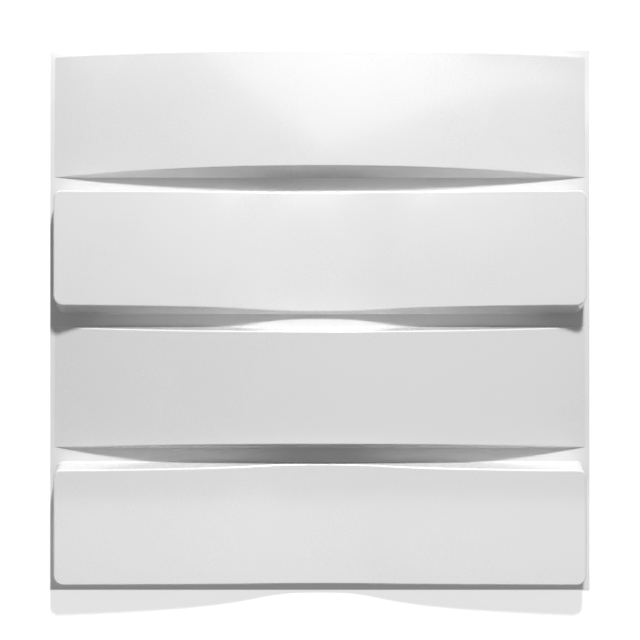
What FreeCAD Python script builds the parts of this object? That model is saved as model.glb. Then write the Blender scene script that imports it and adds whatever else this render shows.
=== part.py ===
import FreeCAD, Part
import math
import os
import Sketcher

# A square decorative wall panel formed from one sheet.  It lies on its back: X runs across
# the bands, Y runs from the lower edge to the upper edge, Z is the relief.
# Two band shapes alternate down the face: a barrel band (its front swells in the middle)
# and a saddle band (its front dips in the middle).  The back under each band is open.

SIZES = [
    ("panel_width", 500.0, "across the bands"),
    ("sheet_thickness", 1.0, "the formed sheet"),
    ("side_flange", 6.0, "flat strip left and right of the bands"),
    ("top_flange", 6.2, "flat strip above band 1"),
    ("bottom_flange", 5.9, "flat strip below band 4"),
    ("barrel_width", 112.1, "barrel band, foot to foot"),
    ("barrel_gap", 13.3, "groove below a barrel band"),
    ("saddle_width", 112.5, "saddle band, foot to foot"),
    ("saddle_gap", 12.1, "groove below a saddle band"),
    ("barrel_rise_low", 21.0, "barrel front above the groove, lower edge, middle"),
    ("barrel_rise_high", 27.0, "barrel front above the groove, upper edge, middle"),
    ("barrel_overrun", 5.0, "how far the barrel curve runs on past the band, inside the sheet"),
    ("barrel_sink_low", 0.6, "depth of the lower edge curve below the flange at the overrun"),
    ("barrel_sink_high", 0.9, "depth of the upper edge curve below the flange at the overrun"),
    ("barrel_fullness", 0.40, "how square-shouldered the barrel curve is"),
    ("root_depth", 8.0, "how far the barrel block is carried down before it is trimmed"),
    ("barrel_draft_low", 17.5, "degrees, lower wall of a barrel band"),
    ("barrel_draft_high", 8.0, "degrees, upper wall of a barrel band"),
    ("saddle_mid_low", 7.0, "saddle front above the groove, lower edge, middle"),
    ("saddle_mid_high", 5.9, "saddle front above the groove, upper edge, middle"),
    ("saddle_end_low", 25.0, "saddle front above the groove, lower edge, ends"),
    ("saddle_end_high", 24.7, "saddle front above the groove, upper edge, ends"),
    ("saddle_knee_low", 20.6, "knee pole of the lower edge curve"),
    ("saddle_knee_high", 20.2, "knee pole of the upper edge curve"),
    ("saddle_knee_place", 94.2, "knee pole from the middle"),
    ("saddle_dip_place", 45.6, "dip pole from the middle"),
    ("saddle_draft_low", 16.5, "degrees, lower wall of a saddle band"),
    ("saddle_draft_high", 5.8, "degrees, upper wall of a saddle band"),
    ("saddle_draft_side", 14.0, "degrees, end walls of a saddle band"),
    ("saddle_corner_low", 9.0, "plan radius of the lower corners"),
    ("saddle_corner_high", 6.5, "plan radius of the upper corners"),
    ("barrel_edge_radius", 1.3, "front edges of a barrel band"),
    ("saddle_edge_radius", 1.6, "front edges of a saddle band"),
    ("saddle_foot_radius", 1.0, "where the walls of a saddle band meet the sheet"),
]

SKIN_INSET = "=sheet_thickness * (1 / cos(%s * 1 deg) - tan(%s * 1 deg))"

DERIVED = [
    ("pitch", "=barrel_width + barrel_gap + saddle_width + saddle_gap"),
    ("panel_height", "=top_flange + 2 * pitch - saddle_gap + bottom_flange"),
    ("barrel_foot_high", "=panel_height / 2 - top_flange - pitch"),
    ("barrel_foot_low", "=barrel_foot_high - barrel_width"),
    ("saddle_foot_high", "=barrel_foot_low - barrel_gap"),
    ("saddle_foot_low", "=saddle_foot_high - saddle_width"),
    ("band_half", "=panel_width / 2 - side_flange"),
    ("blank_top", "=1.5 * max(barrel_rise_low; barrel_rise_high; saddle_end_low; saddle_end_high)"),
    ("cutter_top", "=blank_top + 2 * sheet_thickness"),
    ("cutter_half", "=panel_width / 2"),
    ("barrel_reach", "=band_half + barrel_overrun"),
    ("outer_level", "=sheet_thickness * 1"),
    ("outer_skin", "=sheet_thickness * 0"),
    ("outer_low", "=sheet_thickness * 0"),
    ("outer_high", "=sheet_thickness * 0"),
    ("outer_side", "=sheet_thickness * 0"),
    ("outer_low_barrel", "=sheet_thickness * 0"),
    ("outer_high_barrel", "=sheet_thickness * 0"),
    ("inner_level", "=sheet_thickness * 0"),
    ("inner_skin", "=sheet_thickness * 1"),
    ("inner_low", SKIN_INSET % (("saddle_draft_low",) * 2)),
    ("inner_high", SKIN_INSET % (("saddle_draft_high",) * 2)),
    ("inner_side", SKIN_INSET % (("saddle_draft_side",) * 2)),
    ("inner_low_barrel", SKIN_INSET % (("barrel_draft_low",) * 2)),
    ("inner_high_barrel", SKIN_INSET % (("barrel_draft_high",) * 2)),
]

VALUE = {name: value for name, value, note in SIZES}

doc = FreeCAD.newDocument("wall_panel")
sheet = doc.addObject("Spreadsheet::Sheet", "Sizes")
row = 1
for name, value, note in SIZES:
    sheet.set("A%d" % row, name)
    sheet.set("B%d" % row, str(value))
    sheet.set("C%d" % row, note)
    sheet.setAlias("B%d" % row, name)
    row += 1
for name, formula in DERIVED:
    sheet.set("A%d" % row, name)
    sheet.set("B%d" % row, formula)
    sheet.setAlias("B%d" % row, name)
    row += 1
doc.recompute()


def size(name):
    """The present value of a named cell."""
    return float(getattr(sheet, name))


body = doc.addObject("PartDesign::Body", "WallPanel")


def origin_plane(role):
    for item in body.Origin.OriginFeatures:
        if item.Role == role:
            return item
    raise RuntimeError("origin plane not found: " + role)


def new_sketch(name, role, offset=None):
    """A sketch on one of the body's own planes, moved along its normal by a formula."""
    sketch = body.newObject("Sketcher::SketchObject", name)
    sketch.AttachmentSupport = [(origin_plane(role), "")]
    sketch.MapMode = "FlatFace"
    if offset:
        sketch.setExpression(".AttachmentOffset.Base.z", offset)
    doc.recompute()
    return sketch


def bind(sketch, kind, args, formula):
    """A dimension whose value comes from the spreadsheet."""
    number = sketch.addConstraint(Sketcher.Constraint(kind, *args))
    sketch.setExpression("Constraints[%d]" % number, formula)
    return number


def pin(sketch, geo, point, x_value, x_formula, y_value, y_formula):
    """Hold one point by its two distances from the sketch origin."""
    for kind, value, formula in (("DistanceX", x_value, x_formula), ("DistanceY", y_value, y_formula)):
        if value >= 0:
            bind(sketch, kind, (-1, 1, geo, point, value), formula)
        else:
            bind(sketch, kind, (geo, point, -1, 1, -value), "-(%s)" % formula)


def level(sketch, kind, line, value, formula):
    """Hold a straight line at one distance from the sketch origin."""
    if value >= 0:
        bind(sketch, kind, (-1, 1, line, 1, value), formula)
    else:
        bind(sketch, kind, (line, 1, -1, 1, -value), "-(%s)" % formula)


def closed_lines(sketch, points):
    """A closed polygon; every corner is (x value, x formula, y value, y formula)."""
    count = len(points)
    geos = []
    for index in range(count):
        start = points[index]
        end = points[(index + 1) % count]
        line = Part.LineSegment(FreeCAD.Vector(start[0], start[2], 0), FreeCAD.Vector(end[0], end[2], 0))
        geos.append(sketch.addGeometry(line, False))
    for index in range(count):
        after = geos[(index + 1) % count]
        sketch.addConstraint(Sketcher.Constraint("Coincident", geos[index], 2, after, 1))
    for index in range(count):
        pin(sketch, geos[index], 1, *points[index])
    return geos


# The blank: a flat sheet that carries the flange and the groove floors.
blank_sketch = new_sketch("BlankSketch", "XY_Plane")
half_x = size("panel_width") / 2
half_y = size("panel_height") / 2
corners = []
for sign_x, sign_y in ((-1, -1), (1, -1), (1, 1), (-1, 1)):
    text_x = "Sizes.panel_width / 2" if sign_x > 0 else "-Sizes.panel_width / 2"
    text_y = "Sizes.panel_height / 2" if sign_y > 0 else "-Sizes.panel_height / 2"
    corners.append((sign_x * half_x, text_x, sign_y * half_y, text_y))
closed_lines(blank_sketch, corners)
doc.recompute()
blank = body.newObject("PartDesign::Pad", "Blank")
blank.Profile = blank_sketch
blank.setExpression("Length", "Sizes.sheet_thickness")
doc.recompute()

def front_sketch(name, plane_formula, half_poles):
    """One edge curve of a band front, closed above it so that it can cut.

    half_poles lists the poles from the right end inwards as (x, x formula, z, z formula);
    the left half mirrors them."""
    sketch = new_sketch(name, "XZ_Plane", "-(%s)" % plane_formula)
    right = [FreeCAD.Vector(pole[0], pole[2], 0) for pole in half_poles]
    left = [FreeCAD.Vector(-pole.x, pole.y, 0) for pole in right if pole.x > 0]
    poles = left + right[::-1]
    degree = 3
    spans = len(poles) - degree
    knots = [index / spans for index in range(spans + 1)]
    mults = [degree + 1] + [1] * (spans - 1) + [degree + 1]
    curve = Part.BSplineCurve()
    curve.buildFromPolesMultsKnots(poles, mults, knots, False, degree)
    spline = sketch.addGeometry(curve, False)
    handles = []
    for index, pole in enumerate(poles):
        circle = Part.Circle(pole, FreeCAD.Vector(0, 0, 1), 1.0)
        handle = sketch.addGeometry(circle, True)
        handles.append(handle)
        if index == 0:
            sketch.addConstraint(Sketcher.Constraint("Weight", handle, 1.0))
        else:
            sketch.addConstraint(Sketcher.Constraint("Equal", handles[0], handle))
    for index, handle in enumerate(handles):
        kind = "InternalAlignment:Sketcher::BSplineControlPoint"
        sketch.addConstraint(Sketcher.Constraint(kind, handle, 3, spline, index))
    count = len(poles)
    for index, pole in enumerate(half_poles):
        handle = handles[count - 1 - index]
        pin(sketch, handle, 3, *pole)
        mirror = handles[index]
        if mirror != handle:
            pin(sketch, mirror, 3, -pole[0], "-(%s)" % pole[1], pole[2], pole[3])
    outer, top = size("cutter_half"), size("cutter_top")
    end_x = half_poles[0][0]
    end_z = half_poles[0][2]
    places = [(end_x, end_z), (outer, end_z), (outer, top), (-outer, top), (-outer, end_z), (-end_x, end_z)]
    lines = []
    for start, end in zip(places[:-1], places[1:]):
        line = Part.LineSegment(FreeCAD.Vector(start[0], start[1], 0), FreeCAD.Vector(end[0], end[1], 0))
        lines.append(sketch.addGeometry(line, False))
    for first, second in zip(lines[:-1], lines[1:]):
        sketch.addConstraint(Sketcher.Constraint("Coincident", first, 2, second, 1))
    sketch.addConstraint(Sketcher.Constraint("Coincident", spline, 2, lines[0], 1))
    sketch.addConstraint(Sketcher.Constraint("Coincident", lines[-1], 2, spline, 1))
    sketch.addConstraint(Sketcher.Constraint("Horizontal", lines[0]))
    sketch.addConstraint(Sketcher.Constraint("Horizontal", lines[-1]))
    pin(sketch, lines[1], 2, outer, "Sizes.cutter_half", top, "Sizes.cutter_top")
    pin(sketch, lines[2], 2, -outer, "-Sizes.cutter_half", top, "Sizes.cutter_top")
    sketch.addConstraint(Sketcher.Constraint("Vertical", lines[1]))
    sketch.addConstraint(Sketcher.Constraint("Vertical", lines[3]))
    doc.recompute()
    return sketch


def barrel_poles(side, level_name):
    """A cubic arch: its two inner poles stand 4/3 of the full rise above its ends, which
    lie past the band and below the flange so that the front runs out into the flange."""
    reach = size("barrel_reach")
    end_z = size(level_name) - size("barrel_sink_" + side)
    inner_z = end_z + (size("barrel_rise_" + side) + size("barrel_sink_" + side)) * 4 / 3
    end_text = "Sizes.%s - Sizes.barrel_sink_%s" % (level_name, side)
    inner_text = "%s + (Sizes.barrel_rise_%s + Sizes.barrel_sink_%s) * 4 / 3" % (end_text, side, side)
    return [
        (reach, "Sizes.barrel_reach", end_z, end_text),
        (reach * size("barrel_fullness"), "Sizes.barrel_reach * Sizes.barrel_fullness", inner_z, inner_text),
    ]


def saddle_poles(side, level_name):
    """Ends, knee and dip of a saddle curve; the dip pole is repeated in the middle."""
    floor = size(level_name)
    rows = []
    for place, height in (("band_half", "saddle_end_"), ("saddle_knee_place", "saddle_knee_"),
                          ("saddle_dip_place", "saddle_mid_")):
        rows.append((size(place), "Sizes." + place, floor + size(height + side),
                     "Sizes.%s + Sizes.%s" % (level_name, height + side)))
    rows.append((0.0, "Sizes.band_half * 0", rows[-1][2], rows[-1][3]))
    return rows


def cut_front(name, low_plane, high_plane, low_poles, high_poles):
    low_sketch = front_sketch(name + "CurveLow", low_plane, low_poles)
    high_sketch = front_sketch(name + "CurveHigh", high_plane, high_poles)
    cutter = body.newObject("PartDesign::SubtractiveLoft", name + "Front")
    cutter.Profile = low_sketch
    cutter.Sections = [high_sketch]
    cutter.Ruled = True
    doc.recompute()
    return cutter


def rounded_sketch(name, plane_formula, key, depth_value, depth_text):
    """A rectangle with rounded corners, drawn where the drafted walls pass one level."""
    sketch = new_sketch(name, "XY_Plane", plane_formula)
    slope = "%s * tan(Sizes.%s * 1 deg)"
    def inset(draft_name):
        wall = key + draft_name.replace("saddle_draft_", "")
        value = size(wall) + depth_value * math.tan(math.radians(size(draft_name)))
        return value, "Sizes.%s + " % wall + slope % (depth_text, draft_name)
    side_value, side_text = inset("saddle_draft_side")
    low_value, low_text = inset("saddle_draft_low")
    high_value, high_text = inset("saddle_draft_high")
    half = size("band_half") - side_value
    half_text = "Sizes.band_half - (%s)" % side_text
    bottom = size("saddle_foot_low") + low_value
    bottom_text = "Sizes.saddle_foot_low + " + low_text
    top = size("saddle_foot_high") - high_value
    top_text = "Sizes.saddle_foot_high - (%s)" % high_text
    skin = size(key + "skin")
    radius_low = size("saddle_corner_low") - skin
    radius_high = size("saddle_corner_high") - skin
    low_radius_text = "(Sizes.saddle_corner_low - Sizes.%sskin)" % key
    high_radius_text = "(Sizes.saddle_corner_high - Sizes.%sskin)" % key
    turns = [
        (-1, -1, radius_low, low_radius_text),
        (1, -1, radius_low, low_radius_text),
        (1, 1, radius_high, high_radius_text),
        (-1, 1, radius_high, high_radius_text),
    ]
    centres = []
    for sign_x, sign_y, radius, radius_text in turns:
        x_value = sign_x * (half - radius)
        x_text = "%s(%s - %s)" % ("" if sign_x > 0 else "-", half_text, radius_text)
        y_value = top - radius if sign_y > 0 else bottom + radius
        y_text = "%s %s %s" % (top_text, "-", radius_text) if sign_y > 0 else bottom_text + " + " + radius_text
        centres.append((x_value, x_text, y_value, y_text, radius, radius_text))
    arcs = []
    for index, (x_value, x_text, y_value, y_text, radius, radius_text) in enumerate(centres):
        circle = Part.Circle(FreeCAD.Vector(x_value, y_value, 0), FreeCAD.Vector(0, 0, 1), radius)
        start = math.pi * (1 + index / 2)
        arcs.append(sketch.addGeometry(Part.ArcOfCircle(circle, start, start + math.pi / 2), False))
    lines = []
    for index in range(len(arcs)):
        after = arcs[(index + 1) % len(arcs)]
        start = sketch.getPoint(arcs[index], 2)
        end = sketch.getPoint(after, 1)
        lines.append(sketch.addGeometry(Part.LineSegment(start, end), False))
    for index, line in enumerate(lines):
        after = arcs[(index + 1) % len(arcs)]
        sketch.addConstraint(Sketcher.Constraint("Tangent", arcs[index], 2, line, 1))
        sketch.addConstraint(Sketcher.Constraint("Tangent", line, 2, after, 1))
        sketch.addConstraint(Sketcher.Constraint("Horizontal" if index % 2 == 0 else "Vertical", line))
    for arc, (x_value, x_text, y_value, y_text, radius, radius_text) in zip(arcs, centres):
        bind(sketch, "Radius", (arc, radius), radius_text)
    level(sketch, "DistanceY", lines[0], bottom, bottom_text)
    level(sketch, "DistanceX", lines[1], half, half_text)
    level(sketch, "DistanceY", lines[2], top, top_text)
    level(sketch, "DistanceX", lines[3], -half, "-(%s)" % half_text)
    doc.recompute()
    return sketch


def repeat_bands(name, originals):
    """The same band again, one pitch further up the panel."""
    repeat = body.newObject("PartDesign::LinearPattern", name)
    repeat.Originals = originals
    repeat.Direction = (origin_plane("Y_Axis"), [""])
    repeat.Occurrences = 2
    repeat.setExpression("Length", "Sizes.pitch")
    body.Tip = repeat
    doc.recompute()
    check_all(name)


def make_barrels(key):
    """Two barrel bands: a drafted ridge along X whose front is cut to the barrel curve.
    The ridge goes on down through the sheet, so that its front edges can be rounded right
    to the ends, where the front runs out into the flange.  The outer form starts on the
    face of the sheet; the inner form keeps one sheet thickness inside it."""
    level_name = key + "level"
    root_z = size(level_name) - size("root_depth")
    ridge_z = size("blank_top")
    low = size("barrel_foot_low") + size(key + "low_barrel")
    high = size("barrel_foot_high") - size(key + "high_barrel")
    low_text = "Sizes.barrel_foot_low + Sizes.%slow_barrel" % key
    high_text = "Sizes.barrel_foot_high - Sizes.%shigh_barrel" % key
    root_text = "Sizes.%s - Sizes.root_depth" % level_name
    up = ridge_z - size(level_name)
    up_text = "(Sizes.blank_top - Sizes.%s) * tan(Sizes.%s * 1 deg)"
    down_text = "Sizes.root_depth * tan(Sizes.%s * 1 deg)"
    slope_low = math.tan(math.radians(size("barrel_draft_low")))
    slope_high = math.tan(math.radians(size("barrel_draft_high")))
    ridge_sketch = new_sketch(key + "BarrelRidgeSketch", "YZ_Plane", "-Sizes.barrel_reach")
    closed_lines(ridge_sketch, [
        (low - slope_low * size("root_depth"), low_text + " - " + down_text % "barrel_draft_low",
         root_z, root_text),
        (high + slope_high * size("root_depth"), high_text + " + " + down_text % "barrel_draft_high",
         root_z, root_text),
        (high - slope_high * up, high_text + " - " + up_text % (level_name, "barrel_draft_high"),
         ridge_z, "Sizes.blank_top"),
        (low + slope_low * up, low_text + " + " + up_text % (level_name, "barrel_draft_low"),
         ridge_z, "Sizes.blank_top"),
    ])
    doc.recompute()
    ridge = body.newObject("PartDesign::Pad", key + "BarrelRidge")
    ridge.Profile = ridge_sketch
    ridge.setExpression("Length", "2 * Sizes.barrel_reach")
    doc.recompute()
    front = cut_front(key + "Barrel", "Sizes.barrel_foot_low", "Sizes.barrel_foot_high",
                      barrel_poles("low", level_name), barrel_poles("high", level_name))
    repeat_bands(key + "Barrels", [ridge, front])


def make_saddles(key):
    """Two saddle bands: four drafted walls with rounded corners, the front cut to the dip."""
    level_name = key + "level"
    rise = size("blank_top") - size(level_name)
    rise_text = "(Sizes.blank_top - Sizes.%s)" % level_name
    foot = rounded_sketch(key + "SaddleFootSketch", "Sizes." + level_name, key, 0.0, "0")
    roof = rounded_sketch(key + "SaddleRoofSketch", "Sizes.blank_top", key, rise, rise_text)
    ridge = body.newObject("PartDesign::AdditiveLoft", key + "SaddleRidge")
    ridge.Profile = foot
    ridge.Sections = [roof]
    ridge.Ruled = True
    doc.recompute()
    front = cut_front(key + "Saddle", "Sizes.saddle_foot_low", "Sizes.saddle_foot_high",
                      saddle_poles("low", level_name), saddle_poles("high", level_name))
    repeat_bands(key + "Saddles", [ridge, front])


def check_all(label):
    """Stop at the first object that is not sound."""
    for item in doc.Objects:
        if "Invalid" in item.State or "Error" in item.State:
            raise RuntimeError("%s: %s is not sound" % (label, item.Name))
    shape = body.Shape
    if shape.isNull() or not shape.isValid():
        raise RuntimeError(label + ": the shape is not valid")
    print(label, round(shape.Volume), len(shape.Solids), len(shape.Faces))


def points_of(edge):
    """Nine points along an edge."""
    first = edge.FirstParameter
    last = edge.LastParameter
    return [edge.valueAt(first + (last - first) * step / 8) for step in range(9)]


def saddle_front_edges(shape, level_name):
    """Edges where the saddle fronts meet their walls, all round both bands."""
    names = []
    lift = size(level_name) + min(size("saddle_mid_low"), size("saddle_mid_high")) / 2
    for step in range(2):
        low_y = size("saddle_foot_low") + step * size("pitch")
        high_y = size("saddle_foot_high") + step * size("pitch")
        for index, edge in enumerate(shape.Edges):
            points = points_of(edge)
            if min(point.z for point in points) < lift:
                continue
            if min(point.y for point in points) > low_y and max(point.y for point in points) < high_y:
                names.append("Edge%d" % (index + 1))
    return names


def barrel_front_edges(shape):
    """The long edges where the barrel fronts meet their lower and upper walls."""
    names = []
    for index, edge in enumerate(shape.Edges):
        points = points_of(edge)
        across = max(point.x for point in points) - min(point.x for point in points)
        bow = max(point.z for point in points) - min(point.z for point in points)
        if across > size("band_half") and bow > size("barrel_rise_low") / 2:
            names.append("Edge%d" % (index + 1))
    return names


def round_edges(name, radius_formula, names):
    base = body.Tip
    item = body.newObject("PartDesign::Fillet", name)
    item.Base = (base, names)
    item.setExpression("Radius", radius_formula)
    body.Tip = item
    doc.recompute()
    check_all(name)
    return item


def foot_edges(shape, level_name):
    """Edges where the walls of the saddle bands meet the sheet."""
    names = []
    level_z = size(level_name)
    slack = size("sheet_thickness") / 10
    for index, edge in enumerate(shape.Edges):
        box = edge.BoundBox
        for step in range(2):
            low_y = size("saddle_foot_low") + step * size("pitch") - slack
            high_y = size("saddle_foot_high") + step * size("pitch") + slack
            flat = max(abs(box.ZMin - level_z), abs(box.ZMax - level_z)) < slack
            if flat and box.YMin > low_y and box.YMax < high_y:
                names.append("Edge%d" % (index + 1))
    return names


def new_body(name):
    return doc.addObject("PartDesign::Body", name)


# The saddle bands stand on the sheet.
make_saddles("outer_")
round_edges("SaddleFrontEdges", "Sizes.saddle_edge_radius", saddle_front_edges(body.Shape, "outer_level"))
round_edges("SaddleFootEdges", "Sizes.saddle_foot_radius", foot_edges(body.Shape, "outer_level"))
panel = body

# The barrel bands, the open back under them and the open back under the saddle bands.
body = barrel_block = new_body("BarrelBlock")
make_barrels("outer_")
round_edges("BarrelFrontEdges", "Sizes.barrel_edge_radius", barrel_front_edges(body.Shape))
body = barrel_hollow = new_body("BarrelHollow")
make_barrels("inner_")
body = saddle_hollow = new_body("SaddleHollow")
make_saddles("inner_")


def combine(name, kind, others):
    """Join other bodies to the panel, or cut them from it."""
    item = body.newObject("PartDesign::Boolean", name)
    item.Type = kind
    item.setObjects(others)
    body.Tip = item
    doc.recompute()
    check_all(name)


body = panel
combine("BarrelsOnSheet", "Fuse", [barrel_block])
root_trim = body.newObject("PartDesign::Pocket", "RootTrim")
root_trim.Profile = blank_sketch
root_trim.Reversed = False
root_trim.setExpression("Length", "2 * Sizes.root_depth")
body.Tip = root_trim
doc.recompute()
check_all("RootTrim")
combine("OpenBack", "Cut", [barrel_hollow, saddle_hollow])

os.makedirs("parts", exist_ok=True)
body.Shape.exportStep("parts/wall_panel.step")
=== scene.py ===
import bmesh
import bpy
from bpy.props import FloatProperty, FloatVectorProperty, PointerProperty
from mathutils import Matrix, Vector

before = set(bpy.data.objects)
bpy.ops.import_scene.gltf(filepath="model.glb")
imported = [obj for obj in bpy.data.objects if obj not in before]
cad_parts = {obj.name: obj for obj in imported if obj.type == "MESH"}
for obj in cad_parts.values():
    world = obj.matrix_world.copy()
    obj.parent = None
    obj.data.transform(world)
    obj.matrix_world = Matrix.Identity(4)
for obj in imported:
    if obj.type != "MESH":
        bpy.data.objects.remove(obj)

bl_info = {
    "name": "Relief wall panel",
    "version": (1, 0, 0),
    "blender": (4, 5, 0),
    "location": "View3D > Sidebar > Wall Panel",
    "description": "Finishes a formed wall panel and sets its studio",
    "category": "Object",
}

SHEET_NODE = "wall_panel"
PLAIN_WHITE = (1.0, 1.0, 1.0, 1.0)

# Fineness of the noises in the formed face.
WAVE_DETAIL = 1.0
GRAIN_DETAIL = 2.0
CLOUD_DETAIL = 3.0
# Below one, this makes the clouds wider than the waves.
CLOUD_SCALE_SHARE = 0.6
# How much the clouds and the grain each add to the roughness of the satin.
SATIN_FROM_CLOUD = 0.6
SATIN_FROM_GRAIN = 0.4
# The noise seldom leaves this range, which is spread over the whole range of roughness.
NOISE_LOW = 0.3
NOISE_HIGH = 0.7
PLASTIC_IOR = 1.5

# How far the floor reaches each way, and how far it lies under the back of the panel.
FLOOR_REACH = 4.0
FLOOR_GAP = 0.0002
FLOOR_ROUGHNESS = 0.9

# Corners of the bright face of the softbox, in metres across and up the panel. The face is
# open upwards from its left corner to its step, and lies under its top side from there on.
BOX_LEFT = (-0.35, 0.472)
BOX_BOTTOM = (0.014, 0.274)
BOX_RIGHT = (0.92, 0.552)
BOX_STEP = (0.575, 0.536)
BOX_TOP_RIGHT = (1.045, 0.627)


class SheetSettings(bpy.types.PropertyGroup):
    """Colour and surface of the formed sheet."""

    sheet_colour: FloatVectorProperty(
        name="Sheet colour", description="White of the sheet", subtype="COLOR",
        size=3, min=0.0, max=1.0, default=(0.715, 0.715, 0.715))
    cloud_colour: FloatVectorProperty(
        name="Cloud colour", description="White of the sheet where it is a little thinner",
        subtype="COLOR", size=3, min=0.0, max=1.0, default=(0.695, 0.695, 0.697))
    satin_low: FloatProperty(
        name="Smoothest", description="Lowest roughness of the satin face", subtype="FACTOR",
        min=0.0, max=1.0, default=0.24)
    satin_high: FloatProperty(
        name="Roughest", description="Highest roughness of the satin face", subtype="FACTOR",
        min=0.0, max=1.0, default=0.32)
    gloss_film: FloatProperty(
        name="Gloss film", description="Strength of the clear film over the white",
        subtype="FACTOR", min=0.0, max=1.0, default=1.0)
    film_roughness: FloatProperty(
        name="Film roughness", description="Roughness of the clear film", subtype="FACTOR",
        min=0.0, max=1.0, default=0.085)
    wave_length: FloatProperty(
        name="Wave length", description="Width of the soft waves that forming leaves",
        subtype="DISTANCE", unit="LENGTH", min=0.001, default=0.085)
    wave_height: FloatProperty(
        name="Wave height", description="Height of those waves", subtype="DISTANCE",
        unit="LENGTH", min=0.0, default=0.00008)
    grain_length: FloatProperty(
        name="Grain length", description="Width of the fine grain of the face",
        subtype="DISTANCE", unit="LENGTH", min=0.0001, default=0.0009)
    grain_height: FloatProperty(
        name="Grain height", description="Height of that grain", subtype="DISTANCE",
        unit="LENGTH", min=0.0, default=0.000001)


class StudioSettings(bpy.types.PropertyGroup):
    """Camera, lamps and floor of the studio."""

    camera_height: FloatProperty(
        name="Camera height", description="Camera above the back of the panel", subtype="DISTANCE",
        unit="LENGTH", default=0.655)
    frame_width: FloatProperty(
        name="Frame width", description="Width that the picture covers at the back of the panel",
        subtype="DISTANCE", unit="LENGTH", default=0.594)
    core_place: FloatVectorProperty(
        name="Core place", description="Middle of the small bright lamp", subtype="TRANSLATION",
        unit="LENGTH", size=3, default=(0.09, 0.70, 0.63))
    core_size: FloatProperty(
        name="Core size", description="Width of the small bright lamp", subtype="DISTANCE",
        unit="LENGTH", default=0.10)
    core_power: FloatProperty(
        name="Core power", description="Power of the small bright lamp in watts", min=0.0,
        default=12.6)
    softbox_place: FloatVectorProperty(
        name="Softbox place", description="Middle of the softbox over the upper edge",
        subtype="TRANSLATION", unit="LENGTH", size=3, default=(0.35, 0.55, 1.0))
    softbox_width: FloatProperty(
        name="Softbox width", description="Width of the softbox", subtype="DISTANCE",
        unit="LENGTH", default=1.8)
    softbox_depth: FloatProperty(
        name="Softbox depth", description="Depth of the softbox", subtype="DISTANCE",
        unit="LENGTH", default=0.64)
    softbox_power: FloatProperty(
        name="Softbox power", description="Power of the softbox in watts", min=0.0,
        default=6.0)
    softbox_edge: FloatProperty(
        name="Softbox edge", description="Width over which the softbox fades at its sides",
        subtype="DISTANCE", unit="LENGTH", min=0.001, default=0.06)
    wide_place: FloatVectorProperty(
        name="Wide lamp place", description="Middle of the wide lamp beyond the upper edge",
        subtype="TRANSLATION", unit="LENGTH", size=3, default=(0.0, 0.85, 1.0))
    wide_width: FloatProperty(
        name="Wide lamp width", description="Width of that lamp", subtype="DISTANCE",
        unit="LENGTH", default=2.6)
    wide_depth: FloatProperty(
        name="Wide lamp depth", description="Depth of that lamp", subtype="DISTANCE",
        unit="LENGTH", default=0.5)
    wide_power: FloatProperty(
        name="Wide lamp power", description="Power of that lamp in watts", min=0.0,
        default=20.0)
    low_place: FloatVectorProperty(
        name="Low lamp place", description="Middle of the soft lamp beyond the lower edge",
        subtype="TRANSLATION", unit="LENGTH", size=3, default=(0.0, -0.70, 1.6))
    low_width: FloatProperty(
        name="Low lamp width", description="Width of that lamp", subtype="DISTANCE",
        unit="LENGTH", default=2.4)
    low_depth: FloatProperty(
        name="Low lamp depth", description="Depth of that lamp", subtype="DISTANCE",
        unit="LENGTH", default=0.32)
    low_power: FloatProperty(
        name="Low lamp power", description="Power of that lamp in watts", min=0.0, default=4.1)
    room_level: FloatProperty(
        name="Room level", description="Even light from the room", min=0.0, default=0.243)
    floor_colour: FloatVectorProperty(
        name="Floor colour", description="White of the floor", subtype="COLOR",
        size=3, min=0.0, max=1.0, default=(0.9, 0.9, 0.9))
    floor_glow: FloatProperty(
        name="Floor glow", description="White that the camera sees added on the floor",
        min=0.0, max=1.0, default=0.55)


def new_material(name):
    """An empty node material."""
    material = bpy.data.materials.new(name)
    material.use_nodes = True
    material.node_tree.nodes.clear()
    return material


def formed_face_group():
    """Clouds, soft waves and fine grain of a vacuum-formed face, as values over the surface."""
    group = bpy.data.node_groups.new("formed face", "ShaderNodeTree")
    face = group.interface
    face.new_socket(name="Vector", in_out="INPUT", socket_type="NodeSocketVector")
    for name in ("Wave Length", "Wave Height", "Grain Length", "Grain Height"):
        face.new_socket(name=name, in_out="INPUT", socket_type="NodeSocketFloat")
    for name in ("Cloud", "Satin", "Height"):
        face.new_socket(name=name, in_out="OUTPUT", socket_type="NodeSocketFloat")
    nodes, links = group.nodes, group.links
    given = nodes.new("NodeGroupInput")
    result = nodes.new("NodeGroupOutput")

    def math_node(operation, first, second):
        node = nodes.new("ShaderNodeMath")
        node.operation = operation
        for socket, value in zip(node.inputs, (first, second)):
            if isinstance(value, (int, float)):
                socket.default_value = value
            else:
                links.new(value, socket)
        return node.outputs[0]

    def noise(scale, detail):
        node = nodes.new("ShaderNodeTexNoise")
        node.inputs["Detail"].default_value = detail
        links.new(given.outputs["Vector"], node.inputs["Vector"])
        links.new(scale, node.inputs["Scale"])
        return node.outputs["Fac"]

    wave_scale = math_node("DIVIDE", 1.0, given.outputs["Wave Length"])
    grain_scale = math_node("DIVIDE", 1.0, given.outputs["Grain Length"])
    wave = noise(wave_scale, WAVE_DETAIL)
    grain = noise(grain_scale, GRAIN_DETAIL)
    cloud = noise(math_node("MULTIPLY", wave_scale, CLOUD_SCALE_SHARE), CLOUD_DETAIL)
    satin = math_node("ADD", math_node("MULTIPLY", cloud, SATIN_FROM_CLOUD),
                      math_node("MULTIPLY", grain, SATIN_FROM_GRAIN))
    height = math_node("ADD", math_node("MULTIPLY", wave, given.outputs["Wave Height"]),
                       math_node("MULTIPLY", grain, given.outputs["Grain Height"]))
    links.new(cloud, result.inputs["Cloud"])
    links.new(satin, result.inputs["Satin"])
    links.new(height, result.inputs["Height"])
    return group


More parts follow.
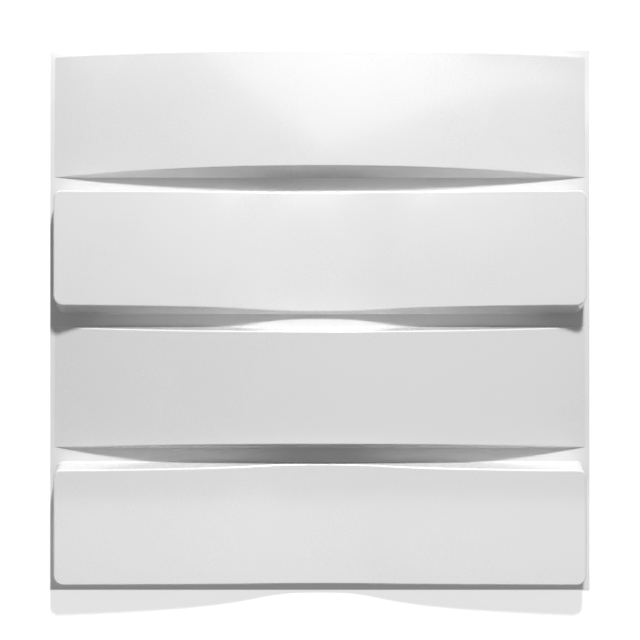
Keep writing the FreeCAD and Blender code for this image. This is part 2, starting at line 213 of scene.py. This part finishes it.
def satin_white(settings):
    """White formed plastic: a satin face with faint clouds, soft waves and a fine grain."""
    material = new_material("satin white sheet")
    nodes, links = material.node_tree.nodes, material.node_tree.links
    out = nodes.new("ShaderNodeOutputMaterial")
    shader = nodes.new("ShaderNodeBsdfPrincipled")
    place = nodes.new("ShaderNodeTexCoord")
    face = nodes.new("ShaderNodeGroup")
    face.node_tree = formed_face_group()
    face.inputs["Wave Length"].default_value = settings.wave_length
    face.inputs["Wave Height"].default_value = settings.wave_height
    face.inputs["Grain Length"].default_value = settings.grain_length
    face.inputs["Grain Height"].default_value = settings.grain_height
    white = nodes.new("ShaderNodeMix")
    white.data_type = "RGBA"
    white.inputs["A"].default_value = (*settings.cloud_colour, 1.0)
    white.inputs["B"].default_value = (*settings.sheet_colour, 1.0)
    satin = nodes.new("ShaderNodeMapRange")
    satin.inputs["From Min"].default_value = NOISE_LOW
    satin.inputs["From Max"].default_value = NOISE_HIGH
    satin.inputs["To Min"].default_value = settings.satin_low
    satin.inputs["To Max"].default_value = settings.satin_high
    relief = nodes.new("ShaderNodeBump")
    relief.inputs["Strength"].default_value = 1.0
    relief.inputs["Distance"].default_value = 1.0
    shader.inputs["IOR"].default_value = PLASTIC_IOR
    shader.inputs["Coat Weight"].default_value = settings.gloss_film
    shader.inputs["Coat Roughness"].default_value = settings.film_roughness
    links.new(place.outputs["Object"], face.inputs["Vector"])
    links.new(face.outputs["Cloud"], white.inputs["Factor"])
    links.new(face.outputs["Satin"], satin.inputs["Value"])
    links.new(face.outputs["Height"], relief.inputs["Height"])
    links.new(white.outputs["Result"], shader.inputs["Base Color"])
    links.new(satin.outputs["Result"], shader.inputs["Roughness"])
    links.new(relief.outputs["Normal"], shader.inputs["Normal"])
    links.new(shader.outputs["BSDF"], out.inputs["Surface"])
    return material


class WALLPANEL_OT_finish_sheet(bpy.types.Operator):
    """Give the formed sheet its white satin finish"""
    bl_idname = "wall_panel.finish_sheet"
    bl_label = "Finish the sheet"

    def execute(self, context):
        sheet = bpy.data.objects[SHEET_NODE]
        finish = satin_white(context.scene.panel_sheet)
        for slot in sheet.material_slots:
            slot.material = finish
        return {"FINISHED"}


def white_floor(settings):
    """Plain white floor, which the camera sees a little whiter than it is."""
    material = new_material("white floor")
    nodes, links = material.node_tree.nodes, material.node_tree.links
    out = nodes.new("ShaderNodeOutputMaterial")
    shader = nodes.new("ShaderNodeBsdfPrincipled")
    shader.inputs["Base Color"].default_value = (*settings.floor_colour, 1.0)
    shader.inputs["Roughness"].default_value = FLOOR_ROUGHNESS
    shader.inputs["Specular IOR Level"].default_value = 0.0
    shader.inputs["Emission Color"].default_value = PLAIN_WHITE
    path = nodes.new("ShaderNodeLightPath")
    glow = nodes.new("ShaderNodeMath")
    glow.operation = "MULTIPLY"
    glow.inputs[1].default_value = settings.floor_glow
    links.new(path.outputs["Is Camera Ray"], glow.inputs[0])
    links.new(glow.outputs[0], shader.inputs["Emission Strength"])
    links.new(shader.outputs["BSDF"], out.inputs["Surface"])
    return material


def lay_floor(settings):
    """A wide floor just under the back of the panel, so that the two faces don't meet."""
    bm = bmesh.new()
    bmesh.ops.create_grid(bm, x_segments=1, y_segments=1, size=FLOOR_REACH,
                          matrix=Matrix.Translation((0.0, 0.0, -FLOOR_GAP)))
    mesh = bpy.data.meshes.new("white_floor")
    bm.to_mesh(mesh)
    bm.free()
    mesh.materials.append(white_floor(settings))
    floor = bpy.data.objects.new("white_floor", mesh)
    bpy.context.scene.collection.objects.link(floor)


def even_room(settings):
    """Even light from all round, which the camera itself sees as plain white."""
    world = bpy.data.worlds.new("even room")
    world.use_nodes = True
    nodes, links = world.node_tree.nodes, world.node_tree.links
    room = nodes["Background"]
    room.inputs["Color"].default_value = PLAIN_WHITE
    path = nodes.new("ShaderNodeLightPath")
    level = nodes.new("ShaderNodeMath")
    level.operation = "MAXIMUM"
    level.inputs[1].default_value = settings.room_level
    links.new(path.outputs["Is Camera Ray"], level.inputs[0])
    links.new(level.outputs[0], room.inputs["Strength"])
    return world


def hang_lamp(name, shape, place, width, depth, power, aim=(0.0, 0.0, 0.0)):
    """An area lamp at a place, turned to its aim, which is the middle of the panel if not given."""
    data = bpy.data.lights.new(name, "AREA")
    data.shape = shape
    data.size = width
    data.size_y = depth
    data.energy = power
    lamp = bpy.data.objects.new(name, data)
    bpy.context.scene.collection.objects.link(lamp)
    lamp.location = place
    lamp.rotation_euler = (Vector(aim) - Vector(place)).to_track_quat("-Z", "Y").to_euler()
    return lamp


def hang_gloss_lamp(name, shape, place, width, depth, power):
    """A lamp that faces straight down and shows as a reflection, but leaves the shadows dark."""
    lamp = hang_lamp(name, shape, place, width, depth, power, aim=(*place[:2], 0.0))
    lamp.visible_diffuse = False
    return lamp


def reach_evenly(lamp):
    """Let a lamp light what is far from it as strongly as what is near."""
    data = lamp.data
    data.use_nodes = True
    nodes, links = data.node_tree.nodes, data.node_tree.links
    falloff = nodes.new("ShaderNodeLightFalloff")
    falloff.inputs["Strength"].default_value = 1.0
    links.new(falloff.outputs["Constant"], nodes["Emission"].inputs["Strength"])


def cut_softbox(lamp, fade):
    """Light only the part of a softbox between its corners, and fade it over a width there.

    The corners are fixed in the room, so they stay where they are if the softbox moves.
    """
    lamp.data.use_nodes = True
    nodes, links = lamp.data.node_tree.nodes, lamp.data.node_tree.links
    spot = nodes.new("ShaderNodeNewGeometry")

    def left_of(start, end):
        """One on the left of the way from start to end, and nothing on its right."""
        start, end = Vector((*start, 0.0)), Vector((*end, 0.0))
        inward = Vector((0.0, 0.0, 1.0)).cross(end - start).normalized()
        reach = nodes.new("ShaderNodeVectorMath")
        reach.operation = "DOT_PRODUCT"
        reach.inputs[1].default_value = inward
        ramp = nodes.new("ShaderNodeMapRange")
        ramp.interpolation_type = "SMOOTHSTEP"
        ramp.inputs["From Min"].default_value = inward.dot(start) - fade / 2
        ramp.inputs["From Max"].default_value = inward.dot(start) + fade / 2
        links.new(spot.outputs["Position"], reach.inputs[0])
        links.new(reach.outputs["Value"], ramp.inputs["Value"])
        return ramp.outputs["Result"]

    def join(operation, first, second):
        node = nodes.new("ShaderNodeMath")
        node.operation = operation
        links.new(first, node.inputs[0])
        links.new(second, node.inputs[1])
        return node.outputs[0]

    above_step = (BOX_STEP[0], 1.0)
    low = join("MULTIPLY", left_of(BOX_LEFT, BOX_BOTTOM), left_of(BOX_BOTTOM, BOX_RIGHT))
    top = join("MAXIMUM", left_of(BOX_TOP_RIGHT, BOX_STEP), left_of(BOX_STEP, above_step))
    links.new(join("MULTIPLY", low, top), nodes["Emission"].inputs["Strength"])


def hang_lamps(settings):
    """The bright lamp that casts the shadows and three that are seen only in the gloss."""
    core = hang_lamp("core_lamp", "ELLIPSE", settings.core_place, settings.core_size,
                     settings.core_size, settings.core_power)
    reach_evenly(core)
    softbox = hang_gloss_lamp("softbox", "RECTANGLE", settings.softbox_place,
                              settings.softbox_width, settings.softbox_depth,
                              settings.softbox_power)
    cut_softbox(softbox, settings.softbox_edge)
    hang_gloss_lamp("wide_lamp", "ELLIPSE", settings.wide_place, settings.wide_width,
                    settings.wide_depth, settings.wide_power)
    hang_gloss_lamp("low_softbox", "RECTANGLE", settings.low_place, settings.low_width,
                    settings.low_depth, settings.low_power)


def aim_camera(settings):
    """A camera over the middle of the panel that looks straight down."""
    scene = bpy.context.scene
    view = bpy.data.cameras.new("top_camera")
    view.lens = view.sensor_width * settings.camera_height / settings.frame_width
    camera = bpy.data.objects.new("top_camera", view)
    scene.collection.objects.link(camera)
    camera.location = (0.0, 0.0, settings.camera_height)
    scene.camera = camera


class WALLPANEL_OT_set_stage(bpy.types.Operator):
    """Lay the white floor and set the camera and lamps"""
    bl_idname = "wall_panel.set_stage"
    bl_label = "Set the stage"

    def execute(self, context):
        settings = context.scene.panel_studio
        lay_floor(settings)
        context.scene.world = even_room(settings)
        hang_lamps(settings)
        aim_camera(settings)
        context.scene.view_settings.view_transform = "Standard"
        return {"FINISHED"}


class WALLPANEL_PT_sidebar(bpy.types.Panel):
    """Settings and steps of the wall panel"""
    bl_idname = "WALLPANEL_PT_sidebar"
    bl_label = "Wall panel"
    bl_space_type = "VIEW_3D"
    bl_region_type = "UI"
    bl_category = "Wall Panel"

    def draw(self, context):
        layout = self.layout
        for settings in (context.scene.panel_sheet, context.scene.panel_studio):
            for name in settings.__annotations__:
                layout.prop(settings, name)
        for step in STEPS:
            layout.operator(step.bl_idname)


STEPS = (WALLPANEL_OT_finish_sheet, WALLPANEL_OT_set_stage)
CLASSES = (SheetSettings, StudioSettings) + STEPS + (WALLPANEL_PT_sidebar,)


def register():
    for cls in CLASSES:
        bpy.utils.register_class(cls)
    bpy.types.Scene.panel_sheet = PointerProperty(type=SheetSettings)
    bpy.types.Scene.panel_studio = PointerProperty(type=StudioSettings)


def unregister():
    del bpy.types.Scene.panel_studio
    del bpy.types.Scene.panel_sheet
    for cls in reversed(CLASSES):
        bpy.utils.unregister_class(cls)


def main():
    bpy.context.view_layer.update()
    register()
    bpy.ops.wall_panel.finish_sheet()
    bpy.ops.wall_panel.set_stage()


if __name__ == "__main__":
    main()
